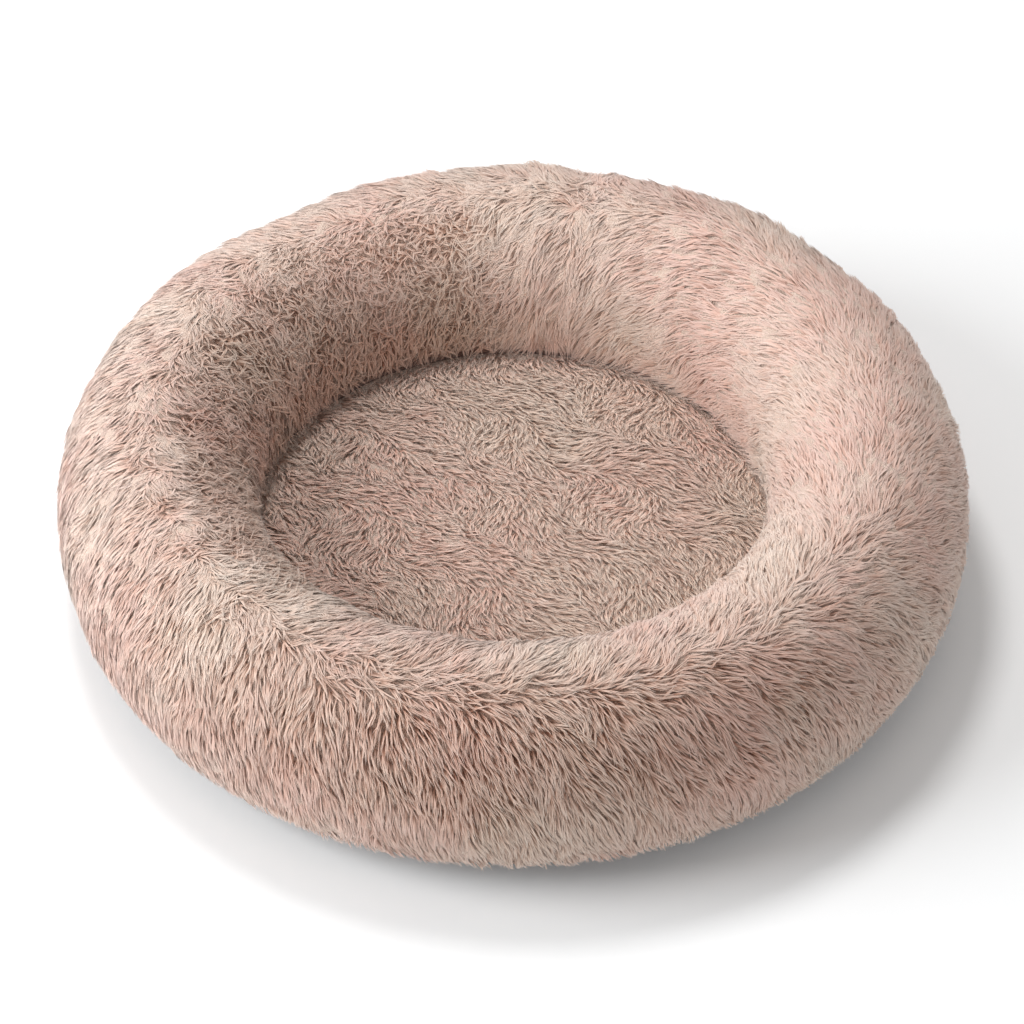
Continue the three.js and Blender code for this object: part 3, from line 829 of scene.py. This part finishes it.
def makeWallPile():
    dice = np.random.default_rng(wallPile["seed"])
    start = sowWall(dice)
    azimuth, turn = start.T
    spots = wallPoint(azimuth, turn, 0 * turn)
    heading = combWall(dice, azimuth, turn, spots)
    ruffle = ruffleAt(azimuth, turn)
    skirt = np.clip(np.degrees(turn - wallFrom) / wallPile["skirtTo"], 0, 1)
    length = comb["length"] * between(wallPile["skirtLength"], skirt)
    width = comb["width"] * between(wallPile["skirtWidth"], skirt)
    loose = looseAt(azimuth, turn, spots, ruffle)
    swell = wave(spots, *comb["swell"])
    surface = (wallPoint, wallNormal, wallScale)
    locks = growTufts(dice, surface, start, heading, length, width, ruffle, loose, swell)
    panel = (np.degrees(azimuth[locks["own"]]) - ring["backSeam"]) % 360 // sector
    lockTurn = np.degrees(turn[locks["own"]])
    for i, side in enumerate(sides):
        for zone, low, high in wallPile["zones"]:
            inZone = (panel == i) & (lockTurn >= low) & (lockTurn < high)
            addLocks(f"pile_{side}_{zone}", locks, inZone, "wall_panel_" + side)


makeUndercoats()
makeWallPile()
print("wall pile made")


# The sleeping floor's backing and undercoat
def makeFloorUndercoat():
    edge = footRadius + bedFloor["underWall"]
    above, below, around = bedFloor["steps"]
    marks = [(radius, 1) for radius in np.linspace(0, edge, above)]
    marks += [(radius, 0) for radius in np.linspace(edge, 0, below)]

    def place(azimuth, radius, upper):
        x, y = radius * np.cos(azimuth), radius * np.sin(azimuth)
        top = wave(floorPoint(x, y, 0 * x), *bedFloor["relief"]) - bedFloor["undercoat"]
        return floorPoint(x, y, np.where(upper > 0.5, top, -bedFloor["pile"]))

    obj = spinSection("undercoat_floor", marks, 0, 360, around)
    movePoints(obj, place)
    mendFaces(obj, weld)
    smooth(50)
    finishPiece(obj, "floor_panel", undercoatPaint)


floorPile = {"seed": 43, "pitch": 1.05, "length": 0.95, "heading": -62, "ruffle": 0.10, "loose": 0.5,
             "headingWaves": [(0.45, 0.16, 21), (0.2, 0.04, 22)], "swell": (0.0013, 0.035, 23)}


def makeFloorPile():
    dice = np.random.default_rng(floorPile["seed"])
    pitch = comb["tuftPitch"] * floorPile["pitch"]
    side = np.arange(-footRadius, footRadius, pitch)
    jitter = comb["jitter"]
    x, y = (grid.ravel() for grid in np.meshgrid(side, side))
    x, y = (line + dice.uniform(-jitter, jitter, len(line)) * pitch for line in (x, y))
    inside = np.hypot(x, y) < footRadius - bedFloor["pileInset"]
    start = np.stack([x[inside], y[inside]], -1)
    spots = floorPoint(start[:, 0], start[:, 1], 0)
    heading = math.radians(floorPile["heading"])
    for line in floorPile["headingWaves"]:
        heading = heading + wave(spots, *line)
    every = np.ones(len(start))
    length, width = every * comb["length"] * floorPile["length"], every * comb["width"]
    swell = wave(spots, *floorPile["swell"])
    locks = growTufts(dice, (floorPoint, floorNormal, floorScale), start, heading, length, width,
                      every * floorPile["ruffle"], every * floorPile["loose"], swell)
    back = start[locks["own"], 1] > 0
    addLocks("pile_floor_back", locks, back, "floor_panel")
    addLocks("pile_floor_front", locks, ~back, "floor_panel")


makeFloorUndercoat()
makeFloorPile()
print("floor plush made")


# A closed skin of stuffing, spun round the bed
def makeStuffing(name, node, marks, steps, place):
    obj = spinSection(name, marks, 0, 360, steps)
    movePoints(obj, place)
    mendFaces(obj, weld)
    bpy.ops.object.shade_smooth()
    finishPiece(obj, node, fibrePaint)
    return obj


# A liner's cloth on its fibre
def makeLiner(node, called, grid, place, cloth, offset):
    obj = wrapGrid(node.replace("liner", called), *grid, place)
    applyModifier(obj, "SOLIDIFY", thickness=cloth, offset=offset)
    mendFaces(obj)
    smooth(50)
    finishPiece(obj, node, linerPaint)


# Stuffing of the ring: a sewn sleeve of two liner cloths round the fibre. Folds and lumps are depth,
# wavelength and seed.
insert = {"cloth": 0.0005, "clearance": 0.0001, "folds": (0.0007, 0.05, 61), "seamGap": 0.001,
          "grid": (240, 30), "fillInset": 0.0021, "lumps": (0.005, 0.07, 71), "fillGrid": (220, 64)}


def makeRingInsert():
    def under(azimuth, turn, inset, relief):
        depth = inset + folds(azimuth, *corePoint(turn), *relief)
        return inSpace(azimuth, *coreOffset(turn, -depth))

    for node, first, last, cut in (("ring_liner_top", wallFrom, wallTo, (3.0, 0.58, 1.49)),
                                   ("ring_liner_bottom", wallTo, wallFrom + 2 * math.pi, (3.0, 0.38, 0.77))):
        def place(azimuth, share):
            turn = first + insert["seamGap"] + (last - first - 2 * insert["seamGap"]) * share
            return under(azimuth, turn, insert["clearance"], insert["folds"])

        makeLiner(node, "sleeve", insert["grid"], place, insert["cloth"], -1)

    def placeFill(azimuth, turn, unused):
        return under(azimuth, turn, insert["fillInset"], insert["lumps"])

    around, along = insert["fillGrid"]
    marks = [(turn, 0) for turn in np.linspace(0, 2 * math.pi, along, endpoint=False)]
    obj = makeStuffing("ring_stuffing", "ring_fibre_fill", marks, around, placeFill)


makeRingInsert()
print("ring insert made")

# Floor pad: its outline from the middle to its seam, above and below, as radius and height. The folds of its
# covers fade out within a calm radius, and the fibre's lumps below are a share of those above.
pad = {
    "upper": [(0, .0797), (.0681, .0790), (.1361, .0768), (.2042, .0732), (.2722, .0682), (.3403, .0617),
              (.3503, .0612), (.3624, .0537), (.3898, .0286)],
    "lower": [(0, .0029), (.3538, .0029), (.3808, .0156), (.3898, .0279)],
    "cloth": 0.0005, "clearance": 0.0001, "folds": (0.0006, 0.06, 81), "grid": (200, 36), "calm": 0.02,
    "fillInset": 0.0021, "lumps": (0.004, 0.06, 91), "lumpRoom": 0.0003, "lowerLumps": 0.2,
    "fillTo": (0.985, 0.97), "rows": 34, "middle": 0.0001,
}


# A place along an outline, by share of its length, moved in by a depth
def alongLine(line, share, depth):
    nudge = 0.004
    r, z = np.array(line).T
    steps = np.hypot(np.diff(r), np.diff(z))
    run = np.concatenate([[0], np.cumsum(steps)]) / steps.sum()
    slopeR, slopeZ = (np.interp(share + nudge, run, axis) - np.interp(share - nudge, run, axis)
                      for axis in (r, z))
    inward = np.sign(z[0] - z[-1]) * depth / np.hypot(slopeR, slopeZ)
    return np.interp(share, run, r) + slopeZ * inward, np.interp(share, run, z) - slopeR * inward


def makeFloorPad():
    for node, line, offset, cut in (("pad_liner_top", pad["upper"], -1, (0.81, 0.81, 0.511)),
                                    ("pad_liner_bottom", pad["lower"], 1, (0.80, 0.80, 0.502))):
        def place(azimuth, share):
            r, z = alongLine(line, share, 0)
            depth = (pad["clearance"] + folds(azimuth, r, z, *pad["folds"])) * np.minimum(1, r / pad["calm"])
            r, z = alongLine(line, share, depth)
            return inSpace(azimuth, np.where(share < pad["middle"], 0, r), z)

        makeLiner(node, "cover", pad["grid"], place, pad["cloth"], offset)

    def placeFill(azimuth, share, upper):
        lump = pad["lumpRoom"] + folds(azimuth, *alongLine(pad["upper"], share, 0), *pad["lumps"])
        high = alongLine(pad["upper"], share, pad["fillInset"] + lump)
        low = alongLine(pad["lower"], share, pad["fillInset"] + pad["lowerLumps"] * lump)
        r, z = np.where(upper > 0.5, high, low)
        return inSpace(azimuth, np.where(share < pad["middle"], 0, np.maximum(r, 0)), z)

    upperTo, lowerTo = pad["fillTo"]
    marks = [(share, 1) for share in np.linspace(0, upperTo, pad["rows"])]
    marks += [(share, 0) for share in np.linspace(lowerTo, 0, pad["rows"])]
    obj = makeStuffing("pad_stuffing", "pad_fibre_fill", marks, pad["grid"][0], placeFill)


makeFloorPad()
print("floor pad made")

# Base cloth: flat on its grip dots, and turned up round the foot of the ring, with a window for the zip
base = {"height": 0.0012, "cloth": 0.0012, "radius": 0.5155, "standOff": 0.0023, "windowHeight": 0.0298,
        "window": (-1, 159), "flatTurn": -67.3, "seamGap": 0.004, "rimFrom": 0.0005, "rimSteps": (9, 4),
        "flatSteps": 24, "around": 360, "cut": (1.15, 1.15), "cutArea": 1.039}
gripDot = {"sides": 8, "pitch": 0.021, "radius": 0.0027, "taper": 0.75, "reach": 0.502}


def baseLine():
    samples = 200
    turns = np.linspace(math.radians(base["flatTurn"]), wallFrom - base["seamGap"], samples)
    r, z = coreOffset(turns, base["standOff"])
    keep = z > base["height"] + base["rimFrom"]
    r, z = r[keep], z[keep]
    below, above = base["rimSteps"]
    window = base["windowHeight"]
    heights = [*np.linspace(z[0], window, below), *np.linspace(window, z[-1], above)[1:]]
    flat = [(radius, base["height"]) for radius in np.linspace(0, base["radius"], base["flatSteps"])]
    return np.array(flat + [(np.interp(height, z, r), height) for height in heights])


def makeBaseCloth():
    line = baseLine()
    steps = len(line) - 1

    def place(azimuth, share):
        station = np.rint(share * steps).astype(int)
        return inSpace(azimuth, line[station, 0], line[station, 1])

    obj = wrapGrid("base_cloth", base["around"], steps, place)
    startEditing(obj)
    bpy.ops.mesh.select_all(action="DESELECT")
    stopEditing()
    first, last = base["window"]
    for face in obj.data.polygons:
        x, y, z = face.center
        azimuth = (math.degrees(math.atan2(y, x)) - first) % 360
        face.select = z > base["windowHeight"] and azimuth < last - first
    bpy.ops.object.mode_set(mode="EDIT")
    bpy.ops.mesh.delete(type="FACE")
    mendFaces(obj)
    applyModifier(obj, "SOLIDIFY", thickness=base["cloth"], offset=1)
    mendFaces(obj)
    smooth(40)
    finishPiece(obj, "base_panel", baseClothPaint)


def makeGripDots():
    deselectAll()
    bpy.ops.mesh.primitive_cone_add(vertices=gripDot["sides"], radius1=gripDot["radius"] * gripDot["taper"],
                                    radius2=gripDot["radius"], depth=base["height"],
                                    location=(0, 0, base["height"] / 2))
    dot = bpy.context.object
    bpy.ops.object.transform_apply(location=True, rotation=True, scale=True)
    points, faces = takePattern(dot)
    pitch, rowHeight = gripDot["pitch"], 0.866
    rows = int(gripDot["reach"] / pitch / rowHeight)
    places = np.array([((i + 0.5 * (j % 2)) * pitch, j * pitch * rowHeight, 0)
                       for j in range(-rows, rows + 1) for i in range(-rows, rows + 1)])
    places = places[np.hypot(places[:, 0], places[:, 1]) < gripDot["reach"]]
    mesh = bpy.data.meshes.new("grip_dots")
    mesh.from_pydata((points[None] + places[:, None]).reshape(-1, 3).tolist(), [],
                     repeatFaces(faces, points, len(places)).tolist())
    dots = addObject("grip_dots", mesh)
    mendFaces(dots)
    smooth(40)
    finishPiece(dots, "base_panel", gripPaint)
    print("base made,", len(places), "grip dots", len(faces), "faces each")


makeBaseCloth()
makeGripDots()

# Zip band: places on it are measured from its middle line, down towards the ground and out from the ring
band = {"middle": (0.55487, 0.035053), "down": (-0.5381, -0.8429), "out": (0.8429, -0.5381),
        "azimuths": (-0.969, 158.969), "gap": 0.0014, "tapeWidth": 0.013, "tapeThickness": 0.0008,
        "tapeSteps": (320, 10)}
coil = {"across": (0.0007, 0.0031), "out": (0.0011, 0.0030), "azimuths": (-0.38, 158.38), "wire": 0.00092,
        "wireRoom": 1.05, "pitch": 0.0021, "turnPoints": 6}
# Binding of the seam between floor and wall, with a wavering edge: height, waves round the bed and phase
binding = {"radii": (0.35065, 0.35305), "heights": (0.0722, 0.0858), "steps": (300, 8),
           "waver": [(0.0001, 61, 0), (0.00008, 143, 1)]}


def onBand(azimuth, down, out):
    r, z = (band["middle"][i] + band["down"][i] * down + band["out"][i] * out for i in (0, 1))
    return inSpace(azimuth, r, z)


# A flat strap's section with rounded edges, as marks (across, thickness)
def strapMarks(low, high, bottom, top, steps):
    middle, half = (bottom + top) / 2, (top - bottom) / 2
    corner = half * 0.3
    across = np.linspace(low + half, high - half, steps)
    marks = [(a, bottom) for a in across] + [(high - corner, bottom + corner), (high, middle)]
    marks += [(high - corner, top - corner)] + [(a, top) for a in across[::-1]]
    return marks + [(low + corner, top - corner), (low, middle), (low + corner, bottom + corner)]


def layUv(mesh, around, across):
    uv = mesh.uv_layers.get("UVMap") or mesh.uv_layers.new(name="UVMap")
    loops = np.empty(len(mesh.loops), np.int32)
    mesh.loops.foreach_get("vertex_index", loops)
    uv.data.foreach_set("uv", np.stack([around, across], -1)[loops].astype(np.float32).ravel())


def makeStrap(name, node, across, thickness, span, steps, place):
    low, high = across
    around, along = steps
    obj = spinSection(name, strapMarks(low, high, *thickness, along), *span, around)
    share = (readMark(obj.data, markLabels[0]) - low) / (high - low)
    layUv(obj.data, azimuths(obj.data) / (2 * math.pi), share)
    movePoints(obj, place)
    mendFaces(obj)
    smooth(60)
    finishPiece(obj, node, tapePaint)


def placeBinding(azimuth, up, radius):
    waver = sum(high * np.sin(azimuth * count + phase) for high, count, phase in binding["waver"])
    return inSpace(azimuth, radius, up + waver)


for side, node in ((-1, "zip_tape_upper"), (1, "zip_tape_lower")):
    near = band["gap"] / 2
    across = sorted((side * near, side * (near + band["tapeWidth"])))
    makeStrap(node.replace("tape", "strap"), node, across, (0, band["tapeThickness"]), band["azimuths"],
              band["tapeSteps"], onBand)
makeStrap("seam_binding", "floor_seam_tape", binding["heights"], binding["radii"], (0, 360), binding["steps"],
          placeBinding)
print("tapes made")


# Each half of the coil is one wound thread
def makeCoils():
    wire = coil["wire"] / 2
    (near, far), (low, high) = coil["across"], coil["out"]
    reach, rise = ((last - first) / 2 - wire * coil["wireRoom"] for first, last in ((near, far), (low, high)))
    first, last = np.radians(coil["azimuths"])
    turns = int((last - first) * band["middle"][0] / coil["pitch"])
    step = np.arange(turns * coil["turnPoints"] + 1) / coil["turnPoints"]
    for side, node in ((-1, "zip_coil_upper"), (1, "zip_coil_lower")):
        down = side * ((near + far) / 2 + reach * np.cos(2 * math.pi * step))
        out = (low + high) / 2 + rise * np.sin(2 * math.pi * step)
        points = onBand(first + (last - first) * (step + 0.5 * (side > 0)) / (turns + 0.5), down, out)
        curve = bpy.data.curves.new(node.replace("coil", "winding"), "CURVE")
        curve.dimensions = "3D"
        curve.bevel_depth, curve.bevel_resolution, curve.use_fill_caps = wire, 0, True
        spline = curve.splines.new("POLY")
        spline.points.add(len(points) - 1)
        spline.points.foreach_set("co", np.concatenate([points, np.ones((len(points), 1))], 1).ravel())
        choose(addObject(curve.name, curve))
        bpy.ops.object.convert(target="MESH")
        obj = bpy.context.object
        mendFaces(obj)
        bpy.ops.object.shade_smooth()
        finishPiece(obj, node, nylonPaint)
        print(node, turns, "turns", len(obj.data.polygons), "faces")


makeCoils()

# The zip's metal pieces: solid, finished piece, body and rounding of its edges
metalPieces = [("zip_slider", "slider_body", "slider", 0.00016), ("zip_pull", "pull_tab", "pull", 0.00018),
               ("zip_stop_open_end", "stop_clip_open", "bed", 0.0002),
               ("zip_stop_closed_end", "stop_clip_closed", "bed", 0.0002)]
metalFinish = {"weld": 0.000005, "flat": math.radians(2), "edge": math.radians(35), "segments": 2}


# Each is finished from a copy of its solid: merged, and its edges rounded
def finishMetal(node, name, body, rounding):
    source = bpy.data.objects[node]
    mesh = source.data.copy()
    mesh.transform(source.matrix_world)
    obj = addObject(name, mesh)
    startEditing(obj)
    bpy.ops.mesh.remove_doubles(threshold=metalFinish["weld"])
    bpy.ops.mesh.dissolve_limited(angle_limit=metalFinish["flat"])
    stopEditing()
    applyModifier(obj, "BEVEL", width=rounding, segments=metalFinish["segments"], limit_method="ANGLE",
                  angle_limit=metalFinish["edge"])
    mendFaces(obj)
    smooth(40)
    finishPiece(obj, node, metalPaint, body)
    print(name, len(obj.data.polygons), "faces")


for piece in metalPieces:
    finishMetal(*piece)
print("zip made")

# Stage, light and camera
stage = {"floorSize": 40, "floorColour": (0.96, 0.96, 0.96), "floorGlow": 0.07, "surround": 0.43}
# name, place, size, power and colour
lamps = [("keyLamp", (-0.6, 1.3, 4.3), 1.2, 76, (1, 1, 1)),
         ("sideLamp", (-4.3, -1.0, 2.9), 3.2, 203, (0.97, 1.0, 1.02))]


def makeGround():
    deselectAll()
    bpy.ops.mesh.primitive_plane_add(size=stage["floorSize"])
    ground = bpy.context.object
    ground.name = "ground"
    paint = Paint("groundPaint", 0.9)
    path = paint.add("LightPath").outputs
    seen = paint.number("MAXIMUM", path["Is Camera Ray"], path["Is Glossy Ray"])
    seen = paint.number("MAXIMUM", seen, path["Is Transmission Ray"])
    paint.set({"Base Color": stage["floorColour"], "Specular IOR Level": 0, "Emission Color": (1, 1, 1),
               "Emission Strength": paint.number("MULTIPLY", seen, stage["floorGlow"])})
    ground.data.materials.append(paint.material)


# White where it is seen or mirrored, and dimmer as a light
def makeWorld():
    world = bpy.context.scene.world or bpy.data.worlds.new("studio")
    bpy.context.scene.world = world
    sky = Nodes(world, "Background")
    path = sky.add("LightPath").outputs
    either = sky.number("MAXIMUM", path["Is Camera Ray"], path["Is Glossy Ray"])
    strength = sky.add("MapRange", {"Value": either, "To Min": stage["surround"], "To Max": 1.0})
    sky.set({"Color": (1, 1, 1), "Strength": strength.outputs[0]})


def addLamp(name, place, size, power, colour):
    data = bpy.data.lights.new(name, "AREA")
    data.shape = "DISK"
    data.size, data.energy, data.color = size, power, colour
    lamp = addObject(name, data)
    lamp.location = place
    towards = Vector(photoView["target"]) - Vector(place)
    lamp.rotation_euler = towards.to_track_quat("-Z", "Y").to_euler()


def makeCamera():
    data = bpy.data.cameras.new("camera")
    camera = addObject("camera", data)
    raised = math.radians(photoView["elevation"])
    back = Vector((0, -math.cos(raised), math.sin(raised)))
    camera.location = Vector(photoView["target"]) + back * photoView["distance"]
    camera.rotation_euler = (-back).to_track_quat("-Z", "Y").to_euler()
    data.lens, data.sensor_width = photoView["lens"], 36
    data.shift_x, data.shift_y = photoView["shift"]
    data.clip_end = 100
    bpy.context.scene.camera = camera


makeGround()
makeWorld()
for lamp in lamps:
    addLamp(*lamp)
makeCamera()
bpy.context.scene.view_settings.view_transform = "Standard"
print("stage, lamps and camera set")
